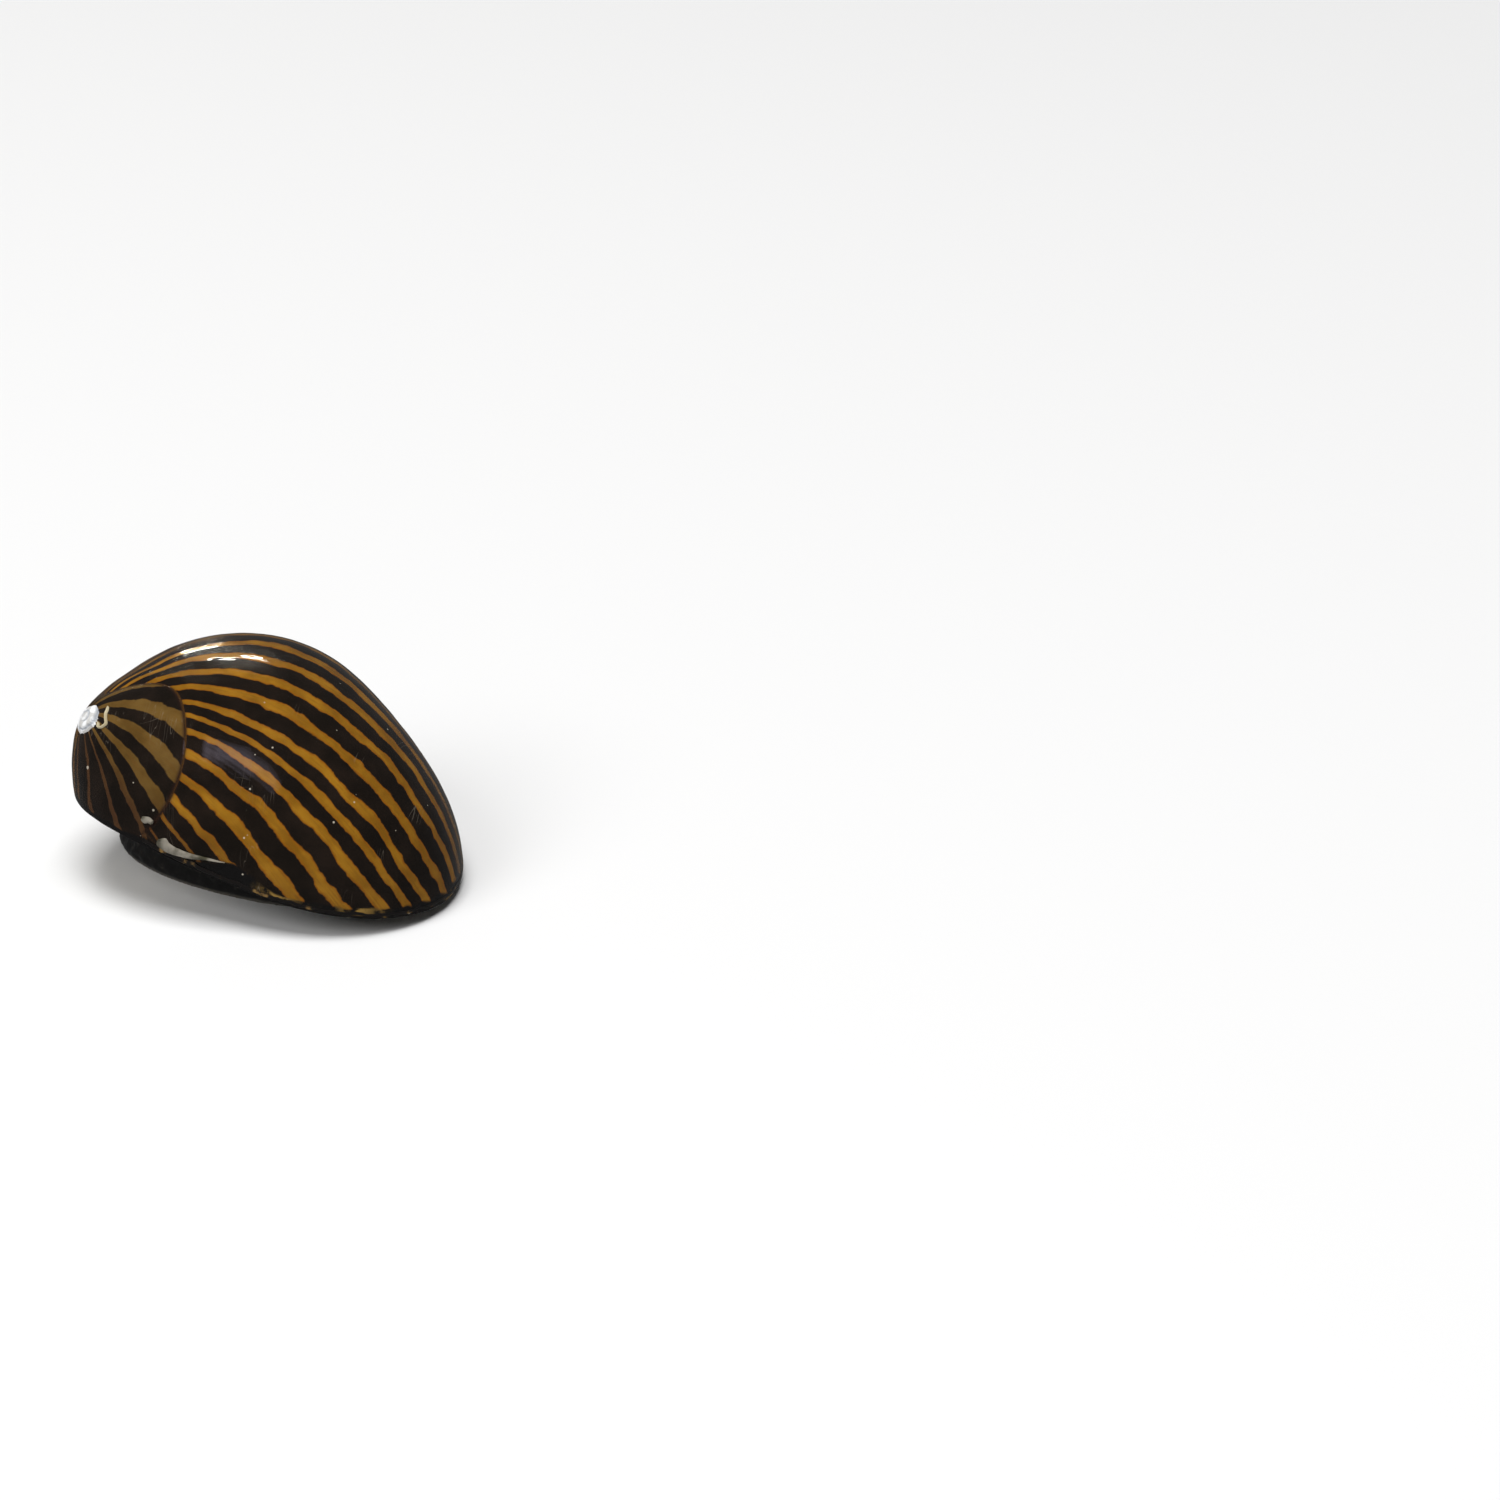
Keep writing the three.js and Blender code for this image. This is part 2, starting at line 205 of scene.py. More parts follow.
# %% Mesh from a grid of points
def grid_mesh(name, points, closed=False, **facts):
    rows, cols = points.shape[:2]
    index = np.arange(rows * cols).reshape(rows, cols)
    if closed:
        index = np.concatenate([index, index[:, :1]], 1)
    a, b = index[:-1, :-1], index[:-1, 1:]
    c, d = index[1:, 1:], index[1:, :-1]
    faces = np.stack([a, b, c, d], -1).reshape(-1, 4)
    mesh = bpy.data.meshes.new(name)
    mesh.from_pydata((points.reshape(-1, 3) * MM).tolist(), [], faces.tolist())
    for key, values in facts.items():
        layer = mesh.attributes.new(key, "FLOAT", "POINT")
        layer.data.foreach_set("value", np.ascontiguousarray(values, dtype=np.float32).ravel())
    mesh.polygons.foreach_set("use_smooth", [True] * len(mesh.polygons))
    mesh.update()
    thing = bpy.data.objects.new(name, mesh)
    bpy.context.collection.objects.link(thing)
    return thing


def value_noise(points, scale, seed=0.0):
    shift = Vector((seed, 2 * seed, 3 * seed))
    flat = points.reshape(-1, 3)
    out = [noise.noise(Vector(v) * scale + shift) for v in flat]
    return np.array(out).reshape(points.shape[:-1])


# %% [markdown]
# ## The striped outside
# Rows run from the apex to the rim and one of them follows the suture, so the step there
# stays crisp. Stripes are counted round the apex: whole numbers are their middles. They
# swing forwards as they go out. Behind the mouth the count of the spire runs over into the
# count of the last whorl, because both are one and the same tube.

# %% Stripe count for any place on the shell
RIGHT_SIDE_STRIPES = np.array([-10, 2.7, 14.5, 25.6, 36.5, 44, 52, 63.5, 76, 90.5, 101.5])
SPIRE_STRIPES = np.array([6, 33.5, 58, 79.5, 97.5, 113, 130, 147])
BODY_SPACING = 11.4
SPIRE_SPACING = 16.0
EXTRA = 39
JITTER = 0.22


def spread_stripes(known, spacing):
    before = known[0] - np.arange(1, EXTRA + 1) * spacing
    after = known[-1] + np.arange(1, EXTRA + 1) * spacing
    jitter = rng.uniform(-JITTER, JITTER, 2 * EXTRA) * spacing
    return np.concatenate([(before + jitter[:EXTRA])[::-1], known, after + jitter[EXTRA:]])


body_middles = spread_stripes(RIGHT_SIDE_STRIPES, BODY_SPACING)
spire_middles = spread_stripes(SPIRE_STRIPES, SPIRE_SPACING)


def body_count(reach, turn):
    out = reach - 60
    swing = 0.27 * out + 0.0019 * out * out
    return np.interp(turn - swing, body_middles, np.arange(len(body_middles)))


def spire_count(reach, turn):
    return np.interp(turn - 0.75 * (reach - 20), spire_middles, np.arange(len(spire_middles)))


def ease(x, low, high):
    t = np.clip((x - low) / (high - low), 0, 1)
    return t * t * (3 - 2 * t)


def stripe_count(reach, turn, inside):
    body = body_count(reach, turn)
    early = spire_count(reach, turn)
    lap = body_count(reach, turn - 360)
    lap = lap + np.round(np.median(early[turn > 170] - lap[turn > 170]))
    behind = early + (lap - early) * ease(turn, 118, 178)
    return np.where(turn > 111, behind, np.where((inside > 0) & (turn > -60), early, body))


print(len(body_middles), "stripe middles counted out for the last whorl")

# %% [markdown]
# The real surface is smooth and glossy, with a fine step at the seam and faint growth ripples.
# They could be left to bump in the material, but real depth also catches the light at the
# edge, so each point is pushed in a little. The other numbers say where the low rim is painted
# near black as painted shade, where gold patches lie on it, where painted shade darkens the
# suture line and the bands low behind the mouth, and where the skin is worn near the apex.

# %% Build the outside
DISC_RIGHT = 2
DISC_UP = 0.3
WEAR_SPREAD = 9.0
COLS = 420
SPIRE_ROWS = 60
BODY_ROWS = 150
turn = np.linspace(-180, 180, COLS)
rim = rim_reach(turn)
edge = np.minimum(suture(turn), rim * 0.86)
inner = np.linspace(0, 1, SPIRE_ROWS)[:, None] ** 0.8 * edge[None]
outer_t = (np.arange(1, BODY_ROWS + 1) / BODY_ROWS)[:, None]
outer = edge + (rim - edge) * outer_t
reach = np.concatenate([inner, outer])
turns = np.broadcast_to(turn, reach.shape)
real_suture = soft_step((112 - turns) / 4) * soft_step((turns + 60) / 18)
inside = np.zeros_like(reach)
inside[:SPIRE_ROWS] = 1
off = reach - edge[None]
step_down = 1 - soft_step((off + 0.5) / 0.35)
swell = 0.16 * np.sin(np.clip(-off / edge[None], 0, 1) * math.pi) * inside
groove = 0.05 * np.exp(-(off / 0.8) ** 2)
depth = SKIN_DEPTH + real_suture * (SUTURE_STEP * step_down + groove - swell * 0.6)
shoulder = 0.1 * np.exp(-((off - 7) / 5) ** 2) * (1 - inside)
depth += real_suture * (0.1 - shoulder) * (1 - inside) * np.exp(-(off / 22) ** 2)
directions = from_apex(reach, turns)
plain = on_dome(directions)
line = stripe_count(reach, turns, inside)
spire_tone = np.where(turns > 111, 1 - ease(turns, 120, 175), inside * ease(turns, -70, -50))
above_rim = plain[..., 2] - lip_height(plain[..., 0])
# painted shade: the low rim of the shell is painted near black in a band that rises behind the mouth
hem_height = 0.45 + 0.95 * np.exp(-((reach - 75) / 10) ** 2) + 0.2 * soft_step((reach - 90) / 8)
hem_height = np.where((turns > 40) & (turns < 112), hem_height, 0.4)
hem = 1 - ease(above_rim - hem_height + value_noise(plain, 1.3, 8) * 0.25, -0.09, 0.05)
gilt = np.exp(-((reach - 93) / 5) ** 2) + np.exp(-((reach - 116) / 4.5) ** 2)
gilt = gilt * ease(turns, 60, 75) * ease(above_rim, 0.12, 0.3)
# painted shade: low behind the mouth the gold bands are made narrower and darker
shade = ease(turns, 84, 112) * (1 - ease(turns, 150, 168))
ridges = np.sin(body_count(reach, turns) * 31) * 0.004 + value_noise(plain, 0.9, 3) * 0.02
depth += np.maximum(0, ridges + 0.012)
# painted shade: a dark line along the suture groove
seam = real_suture * np.exp(-((off - 0.2) / 0.75) ** 2)
from_disc_right = reach * np.sin(np.radians(turns)) - DISC_RIGHT
from_disc_up = reach * np.cos(np.radians(turns)) - DISC_UP
wear = np.exp(-(np.hypot(from_disc_right, from_disc_up) / WEAR_SPREAD) ** 2)
outside = grid_mesh("shell_outside", on_dome(directions, depth), line=line, reach=reach / 10,
                    spire=spire_tone, hem=hem, shade=shade, gilt=gilt, seam=seam, wear=wear)
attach(outside, "root")
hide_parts("shell_body_whorl", "shell_spire_whorl")
print("outside of the shell:", len(outside.data.polygons), "faces")

# %% [markdown]
# ## The worn apex
# The oldest bit of shell has lost its dark skin. It is a small chalky disc with a ragged
# edge, raised a little over the spire. A flat map round the apex, in degrees to the right and
# up, is the plainest way to draw it where the shell is nearly round.

# %% Build the apex
DISC_HALF_WIDTH = 3.9
DISC_HALF_HEIGHT = 4.7
DISC_HEIGHT = 0.17


def flat_apex(right, up):
    return from_apex(np.hypot(right, up), np.degrees(np.arctan2(right, up)))


around = np.radians(np.linspace(0, 360, 120, endpoint=False))
ragged = 1 + 0.03 * np.sin(around * 3 + 0.7) + 0.02 * np.sin(around * 7) + 0.02 * np.sin(around * 13)
ragged += 0.14 * np.exp(-((np.degrees(around) - 25) / 22) ** 2) * np.sin(around * 17) ** 2
fraction = np.linspace(0.02, 1, 40)[:, None]
disc_right = DISC_RIGHT + DISC_HALF_WIDTH * fraction * ragged * np.cos(around)
disc_up = DISC_UP + DISC_HALF_HEIGHT * fraction * ragged * np.sin(around)
disc_way = flat_apex(disc_right, disc_up)
whorls = (fraction * 1.9 - around / (2 * math.pi)) % 1
coil = np.exp(-((whorls - 0.5) / 0.14) ** 2) * (fraction > 0.2)
disc_pits = 0.025 * value_noise(on_dome(disc_way), 2.4, 5)
disc_depth = -DISC_HEIGHT + 0.36 * fraction ** 7 + disc_pits + 0.07 * coil
apex = grid_mesh("worn_apex", on_dome(disc_way, disc_depth), closed=True, coil=coil)
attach(apex, "root")
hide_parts("shell_apex")
print("apex:", len(apex.data.polygons), "faces")

# %% [markdown]
# Beside the disc a thread of old shell is left, curled like a hook. Low on the right, where
# the suture meets the mouth, lies a small smear of callus, and from it a pale ridge runs
# forwards along the lip and thins out. Each is a strip laid along a few points and rounded
# across, which is simpler than cutting them into the shell.


# %% Small raised marks
def raised(name, right, up, half, height, slot):
    n = len(right)
    ahead_r = np.gradient(right)
    ahead_u = np.gradient(up)
    length = np.hypot(ahead_r, ahead_u)
    rows = []
    for w in np.linspace(-1, 1, 13):
        r = right - ahead_u / length * half * w
        u = up + ahead_r / length * half * w
        rise = height * np.sqrt(max(0.0, 1 - w * w)) - 0.03
        d = flat_apex(r, u)
        rows.append(on_dome(d, -rise * np.ones(n) + 0.03 * value_noise(on_dome(d), 3.0, 2)))
    mark = grid_mesh(name, np.array(rows))
    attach(mark, "root")
    return mark


def smooth_way(knots, n):
    seat = np.linspace(0, len(knots) - 1, n)
    way = np.array([np.interp(seat, np.arange(len(knots)), column) for column in np.array(knots).T]).T
    for _ in range(n // 8):
        way[1:-1] = (way[:-2] + way[1:-1] + way[2:]) / 3
    return way


def by_reach(knots, n=90):
    way = smooth_way(knots, n)
    a = np.radians(way[:, 1])
    return way[:, 0] * np.sin(a), way[:, 0] * np.cos(a)


taper = np.linspace(0, 1, 90)
round_ends = np.sqrt(np.clip(np.minimum(taper, 1 - taper) / 0.08, 0, 1))
HOOK_WAY = [(8.8, 31), (8.4, 43), (9.0, 55), (9.8, 63), (9.2, 71), (7.9, 76), (7.3, 66)]
SMEAR_WAY = [(37.4, 106.2), (38.7, 103.6), (40.6, 103.2)]
RIDGE_WAY = [(45.8, 107.2), (49.0, 107.8), (52.5, 106.4), (58.0, 102.9), (64.0, 98.2), (70.5, 94.0)]
hook = raised("apex_hook", *by_reach(HOOK_WAY), 0.32 * round_ends, 0.13, "shell_worn")
smear_half = 1.35 * round_ends * (1 - 0.3 * taper)
smear = raised("corner_smear", *by_reach(SMEAR_WAY), smear_half, 0.16, "shell_lip")
ridge_half = 3.0 * round_ends * (1 - taper) ** 0.9
ridge = raised("callus_ridge", *by_reach(RIDGE_WAY), ridge_half + 0.05, 0.14, "shell_lip")
print("hook, smear and ridge:", [len(m.data.polygons) for m in (hook, smear, ridge)], "faces")

# %% [markdown]
# ## Lip and deck
# The lip rolls from the outside into the aperture. The deck is a smooth shelf that closes
# the rear of it, with small teeth along its straight edge. Both follow the rim, so the first
# step is a function that finds a place on the rim for a compass heading.

# %% Places along the rim
DECK_START = np.array([-5.2, -8.6])
DECK_END = np.array([4.2, 8.6])


def rim_place(heading, inset, height):
    low = np.full_like(heading, -40.0)
    high = np.full_like(heading, 60.0)
    for _ in range(36):
        mid = (low + high) / 2
        spot = on_dome(compass(heading, mid), inset)
        under = spot[..., 2] < lip_height(spot[..., 0]) + height
        low = np.where(under, mid, low)
        high = np.where(under, high, mid)
    return on_dome(compass(heading, high), inset)


def heading_of(spot):
    return math.degrees(math.atan2(spot[1] - CENTRE[1], spot[0] - CENTRE[0]))


start_heading = heading_of(DECK_START)
end_heading = heading_of(DECK_END)
print("the lip runs from", round(start_heading), "to", round(end_heading), "degrees round the snail")

# %% [markdown]
# The lip is the young edge of the shell, thin and a little chipped. It could be bevelled from
# the outside, but a profile of insets and heights, carried round the rim, gives a true roll.

# %% Build the lip
headings = np.linspace(start_heading, end_heading, 260)
LIP_PROFILE = [(0.02, 0.34), (0.005, 0.26), (0.01, 0.14), (0.07, 0.05), (0.2, 0.01), (0.38, 0.02),
               (0.6, 0.1), (0.85, 0.35), (1.05, 0.9), (1.12, 1.8), (1.15, 2.8), (1.2, 3.6)]
along = (headings - headings[0]) / (headings[-1] - headings[0])
chips = 0.16 * np.maximum(0, np.sin(along * 61 + 1.5)) ** 8
chips += 0.1 * np.maximum(0, np.sin(along * 137)) ** 10
lip_rows = []
for inset, height in LIP_PROFILE:
    bite = chips * max(0.0, 1 - inset / 0.6)
    thick = 0.3 * np.exp(-(along / 0.17) ** 2) * max(0.0, 1 - inset / 0.5)
    row = rim_place(headings, SKIN_DEPTH + inset - 0.012 - 0.05 * thick, height * (1 + 0.9 * thick))
    row[:, 2] += bite * 0.6
    lip_rows.append(row)
lip_points = np.array(lip_rows)
inward = np.linspace(0, 1, len(LIP_PROFILE))[:, None] * ease(along, 0.02, 0.06)
lip = grid_mesh("outer_lip", lip_points, inward=inward)
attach(lip, "root")
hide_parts("shell_outer_lip")
print("lip:", len(lip.data.polygons), "faces")

# %% [markdown]
# The deck runs from its straight edge back to the rim. Rows between the two make it, folded up
# at both ends. A wave that fades to the sides gives the teeth, so none is placed by hand.

# %% Build the deck
TEETH_MIDDLE = 0.51
TEETH_RATE = 12
TEETH_SPREAD = 0.22
TEETH_JUT = 0.34
FRONT_FOLD = [(0.0, 1.0), (0.0, 0.5), (0.0, 0.22), (0.012, 0.06)]
FLAT_PART = [(w, 0.0) for w in (0.04, 0.1, 0.2, 0.35, 0.5, 0.65, 0.8, 0.9)]
REAR_FOLD = [(0.97, 0.03), (1.0, 0.12), (1.0, 0.5)]
share = np.linspace(0, 1, 200)
deck_corners = rim_place(np.array([start_heading, end_heading]), 0.3, 0.0)[:, :2]
chord = deck_corners[0] + (deck_corners[1] - deck_corners[0]) * share[:, None]
side = unit(np.array([[DECK_END[1] - DECK_START[1], DECK_START[0] - DECK_END[0]]]))[0]
arc_headings = start_heading - share * (start_heading + 360 - end_heading)
arc = rim_place(arc_headings, 0.12, 0.0)[:, :2]
from_middle = share - TEETH_MIDDLE
tooth = np.maximum(0, np.cos(from_middle * math.pi * 2 * TEETH_RATE)) ** 3
tooth *= np.exp(-(from_middle / TEETH_SPREAD) ** 4)
deck_rows = []
for w, lift in FRONT_FOLD + FLAT_PART + REAR_FOLD:
    spot = chord * (1 - w) + arc * w
    jut = tooth * max(0.0, 1 - w / 0.05) * TEETH_JUT
    spot = spot + side * jut[:, None]
    z = lip_height(spot[:, 0]) + lift - 0.12 * math.sin(min(1, w) * math.pi) + 0.02
    z = z - 0.12 * tooth * math.exp(-(w / 0.06) ** 2)
    deck_rows.append(np.column_stack([spot, z]))
deck = grid_mesh("columellar_deck", np.array(deck_rows))
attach(deck, "root")
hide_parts("shell_columellar_deck")
print("deck:", len(deck.data.polygons), "faces")

# %% [markdown]
# ## One skin for the soft body
# Foot, head, snout and tentacles are separate solids with narrow gaps. Swollen a little,
# melted together and shrunk back, they become one moist skin with no seam. Joining them by
# a union would leave sharp creases where they meet.

# %% Melt the soft solids together
SWELL = 0.19
FINE_VOXEL = 0.12
WELD_REACH = 0.01
soft_names = ["foot", "head", "snout", "tentacle_left", "tentacle_right"]
parts = []
for name in soft_names:
    copy = frame["nodes"][name].copy()
    copy.data = copy.data.copy()
    bpy.context.collection.objects.link(copy)
    parts.append(copy)
for thing in bpy.context.selected_objects:
    thing.select_set(False)
for copy in parts:
    copy.select_set(True)
bpy.context.view_layer.objects.active = parts[0]
bpy.ops.object.join()
skin = bpy.context.view_layer.objects.active
skin.name = "soft_body"
skin.data.materials.clear()
weld = skin.modifiers.new("weld", "WELD")
weld.merge_threshold = WELD_REACH * MM
swell = skin.modifiers.new("swell", "DISPLACE")
swell.strength = SWELL * MM
swell.mid_level = 0
melt = skin.modifiers.new("melt", "REMESH")
melt.mode = "VOXEL"
melt.voxel_size = FINE_VOXEL * MM
soften = skin.modifiers.new("soften", "SMOOTH")
soften.iterations = 6
shrink = skin.modifiers.new("shrink", "DISPLACE")
shrink.strength = -SWELL * MM
shrink.mid_level = 0
view = bpy.context.evaluated_depsgraph_get()
melted = bpy.data.meshes.new_from_object(skin.evaluated_get(view))
skin.modifiers.clear()
skin.data = melted
print("soft body:", len(melted.polygons), "faces")

# %% [markdown]
# The skin gets shallow wrinkles, a faintly frilled edge, and a sole pressed flat on the
# floor. A number for each point says how much it belongs to the sole. Noise is enough here,
# because a real skin has no pattern either.

# %% Wrinkle the skin and flatten the sole
SOLE_REACH = 0.12
count = len(melted.vertices)
spots = np.zeros(count * 3)
melted.vertices.foreach_get("co", spots)
spots = spots.reshape(-1, 3) / MM
normals = np.zeros(count * 3)
melted.vertices.foreach_get("normal", normals)
normals = normals.reshape(-1, 3)
wrinkle = value_noise(spots * np.array([1, 1, 2.2]), 1.5, 7) * 0.07
wrinkle += value_noise(spots, 4.5, 9) * 0.025
flank = np.clip(spots[:, 2] / 0.5, 0, 1)
spots += normals * ((wrinkle - 0.03) * flank)[:, None]
near_floor = spots[:, 2] < SOLE_REACH
spots[near_floor, 2] = 0.0
melted.vertices.foreach_set("co", (spots * MM).ravel())
sole_layer = melted.attributes.new("sole", "FLOAT", "POINT")
sole_layer.data.foreach_set("value", np.clip(1 - spots[:, 2] / 0.25, 0, 1).astype(np.float32))
melted.polygons.foreach_set("use_smooth", [True] * len(melted.polygons))
melted.update()
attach(skin, "root")
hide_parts(*soft_names)
print("lowest point of the skin:", round(float(spots[:, 2].min()), 3), "mm")


# %% [markdown]
# ## Eyes and lid
# Each eye is a black bead at the tip of a short stalk, so a fine sphere takes the place of
# the coarse solid. The horny lid is flat and plain, and its solid is fine enough.

# %% Build the eyes
def bead(name, node, radius):
    low_corner, high_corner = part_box(node)
    middle = [(a + b) / 2 for a, b in zip(low_corner, high_corner)]
    bpy.ops.mesh.primitive_uv_sphere_add(segments=40, ring_count=24, radius=radius * MM, location=middle)
    ball = bpy.context.object
    ball.name = name
    bpy.ops.object.shade_smooth()
    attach(ball, "root")
    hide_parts(node)
    return ball


EYE_RADIUS = 0.3
eyes = [bead("left_eye", "eye_left", EYE_RADIUS), bead("right_eye", "eye_right", EYE_RADIUS)]
print("eye positions in metres:", [tuple(round(c, 4) for c in e.location) for e in eyes])

# %% [markdown]
# ## Materials
# All colour comes from numbers and noise. Node code written out in full is long and hard to
# read, so a small toolkit gives each kind of node one short word.


# %% Material toolkit
class Paint:
    def __init__(self, name):
        self.mat = bpy.data.materials.new(name)
        self.mat.use_nodes = True
        self.tree = self.mat.node_tree
        self.tree.nodes.clear()
        self.out = self.tree.nodes.new("ShaderNodeOutputMaterial")
        self.shader = self.tree.nodes.new("ShaderNodeBsdfPrincipled")
        self.tree.links.new(self.shader.outputs[0], self.out.inputs["Surface"])

    def feed(self, socket, value):
        if isinstance(value, bpy.types.NodeSocket):
            self.tree.links.new(value, socket)
        else:
            socket.default_value = value

    def put(self, name, value):
        self.feed(self.shader.inputs[name], value)

    def fact(self, name):
        node = self.tree.nodes.new("ShaderNodeAttribute")
        node.attribute_name = name
        return node.outputs["Fac"]

    def place(self):
        return self.tree.nodes.new("ShaderNodeTexCoord").outputs["Object"]

    def math(self, what, a, b=0.0, c=0.0):
        node = self.tree.nodes.new("ShaderNodeMath")
        node.operation = what
        for socket, value in zip(node.inputs, (a, b, c)):
            self.feed(socket, value)
        return node.outputs[0]

    def join(self, x, y, z):
        node = self.tree.nodes.new("ShaderNodeCombineXYZ")
        for socket, value in zip(node.inputs, (x, y, z)):
            self.feed(socket, value)
        return node.outputs[0]

    def noise(self, where, scale, detail=3.0, rough=0.55):
        node = self.tree.nodes.new("ShaderNodeTexNoise")
        self.feed(node.inputs["Vector"], where)
        node.inputs["Scale"].default_value = scale
        node.inputs["Detail"].default_value = detail
        node.inputs["Roughness"].default_value = rough
        return node.outputs["Fac"]

    def spots(self, where, scale, size, share):
        node = self.tree.nodes.new("ShaderNodeTexVoronoi")
        self.feed(node.inputs["Vector"], where)
        node.inputs["Scale"].default_value = scale
        chosen = self.math("LESS_THAN", self.split(node.outputs["Color"]), share)
        dot = self.ramp(node.outputs["Distance"], size * 0.6, size, 1.0, 0.0)
        return self.math("MULTIPLY", dot, chosen)

    def split(self, colour):
        node = self.tree.nodes.new("ShaderNodeSeparateColor")
        self.feed(node.inputs[0], colour)
        return node.outputs[0]

    def scratches(self, where, stretch, thin, low, high):
        node = self.tree.nodes.new("ShaderNodeMapping")
        self.feed(node.inputs["Vector"], where)
        node.inputs["Scale"].default_value = stretch
        node.inputs["Rotation"].default_value = (0.4, 0.5, 0.6)
        fine = self.noise(node.outputs[0], 1.0, 1)
        thread = self.ramp(self.math("ABSOLUTE", self.math("SUBTRACT", fine, 0.5)), 0.0, thin, 1.0, 0.0)
        return self.math("MULTIPLY", thread, self.ramp(self.noise(where, 330, 1), low, high))

    def ramp(self, value, low, high, to_low=0.0, to_high=1.0):
        node = self.tree.nodes.new("ShaderNodeMapRange")
        node.interpolation_type = "SMOOTHSTEP"
        for key, number in (("Value", value), ("From Min", low), ("From Max", high),
                            ("To Min", to_low), ("To Max", to_high)):
            self.feed(node.inputs[key], number)
        return node.outputs["Result"]

    def blend(self, factor, a, b):
        node = self.tree.nodes.new("ShaderNodeMix")
        node.data_type = "RGBA"
        node.clamp_factor = True
        self.feed(node.inputs[0], factor)
        self.feed(node.inputs[6], a)
        self.feed(node.inputs[7], b)
        return node.outputs[2]

    def bump(self, height, strength, distance):
        node = self.tree.nodes.new("ShaderNodeBump")
        node.inputs["Strength"].default_value = strength
        node.inputs["Distance"].default_value = distance * MM
        self.feed(node.inputs["Height"], height)
        self.put("Normal", node.outputs[0])


def tint(r, g, b):
    return (r, g, b, 1.0)


# %% [markdown]
# The shell colour starts near black. Ochre bands lie where the stripe count is close to a
# whole number. Noise makes their edges waver and their tone drift, and fine growth lines
# run along them. Painted shade darkens a line along the suture, makes the bands narrower and
# darker low behind the mouth, and turns the low rim near black. Specks, scratches and a worn
# patch lie over that, and a clear coat gives the wet gloss.

# %% Shell paint
shell_paint = Paint("striped shell")
P = shell_paint
where = P.place()
line_at = P.fact("line")
spire_at = P.fact("spire")
wander = P.math("MULTIPLY_ADD", P.noise(where, 420, 2), 0.42, -0.21)
shiver = P.math("MULTIPLY_ADD", P.noise(where, 1500, 3), 0.2, -0.1)
counted = P.math("ADD", P.math("ADD", line_at, wander), shiver)
nearest = P.math("ABSOLUTE", P.math("SUBTRACT", P.math("FRACT", P.math("ADD", counted, 0.5)), 0.5))
shade = P.fact("shade")
half = P.math("MULTIPLY_ADD", P.noise(where, 260, 2), 0.16, P.math("MULTIPLY_ADD", spire_at, 0.04, 0.11))
# painted shade narrows the bands low behind the mouth
half = P.math("SUBTRACT", half, P.math("MULTIPLY", shade, 0.13))
band = P.ramp(P.math("SUBTRACT", nearest, half), -0.03, 0.022, 1.0, 0.0)
grain_place = P.join(P.math("MULTIPLY", line_at, 9.0), P.math("MULTIPLY", P.fact("reach"), 0.35), 0.0)
grain = P.noise(grain_place, 3.0, 4, 0.6)
tone = P.noise(where, 500, 3)
ochre = P.blend(P.ramp(tone, 0.3, 0.7), tint(0.205, 0.087, 0.004), tint(0.345, 0.16, 0.010))
orange = P.ramp(P.math("SUBTRACT", nearest, half), -0.085, -0.03, 0.0, 0.7)
ochre = P.blend(orange, ochre, tint(0.26, 0.08, 0.002))
tan = P.blend(P.ramp(tone, 0.3, 0.7), tint(0.08, 0.042, 0.008), tint(0.145, 0.083, 0.02))
gold = P.blend(spire_at, ochre, tan)
gold = P.blend(P.ramp(grain, 0.4, 0.72, 0.0, 0.5), gold, tint(0.13, 0.055, 0.008))
# painted shade darkens the gold low behind the mouth
gold = P.blend(P.math("MULTIPLY", shade, 0.8), gold, tint(0.05, 0.02, 0.010))
dark = P.blend(P.ramp(tone, 0.35, 0.75), tint(0.0065, 0.0042, 0.0026), tint(0.014, 0.0085, 0.0055))
colour = P.blend(band, dark, gold)
# painted shade along the suture groove
colour = P.blend(P.math("MULTIPLY", P.fact("seam"), 0.8), colour, tint(0.022, 0.009, 0.006))
fleck = P.ramp(P.noise(where, 700, 3), 0.6, 0.68)
# painted shade on the low rim: near black, with ochre flecks and gold patches
black_hem = P.blend(fleck, tint(0.005, 0.0045, 0.0045), tint(0.2, 0.12, 0.03))
patch = P.math("MULTIPLY", P.fact("gilt"), P.ramp(P.noise(where, 1300, 3), 0.4, 0.55))
black_hem = P.blend(patch, black_hem, tint(0.3, 0.18, 0.04))
colour = P.blend(P.fact("hem"), colour, black_hem)
speck = P.math("MAXIMUM", P.spots(where, 1000, 0.075, 0.3), P.spots(where, 430, 0.06, 0.22))
scratch = P.math("MAXIMUM", P.scratches(where, (2600, 90, 300), 0.008, 0.57, 0.64),
                 P.scratches(where, (200, 2400, 120), 0.006, 0.62, 0.7))
colour = P.blend(P.math("MULTIPLY", speck, 0.7), colour, tint(0.62, 0.56, 0.45))
colour = P.blend(P.math("MULTIPLY", scratch, 0.16), colour, tint(0.5, 0.43, 0.34))
worn = P.ramp(P.math("ADD", P.fact("wear"), P.math("MULTIPLY", P.noise(where, 1500, 4), 0.3)), 1.0, 1.06)
colour = P.blend(P.math("MULTIPLY", worn, 0.6), colour, tint(0.4, 0.36, 0.3))
P.put("Base Color", colour)
P.put("Roughness", P.math("ADD", P.ramp(grain, 0.2, 0.9, 0.14, 0.24), P.math("MULTIPLY", worn, 0.3)))
P.put("Specular IOR Level", 0.18)
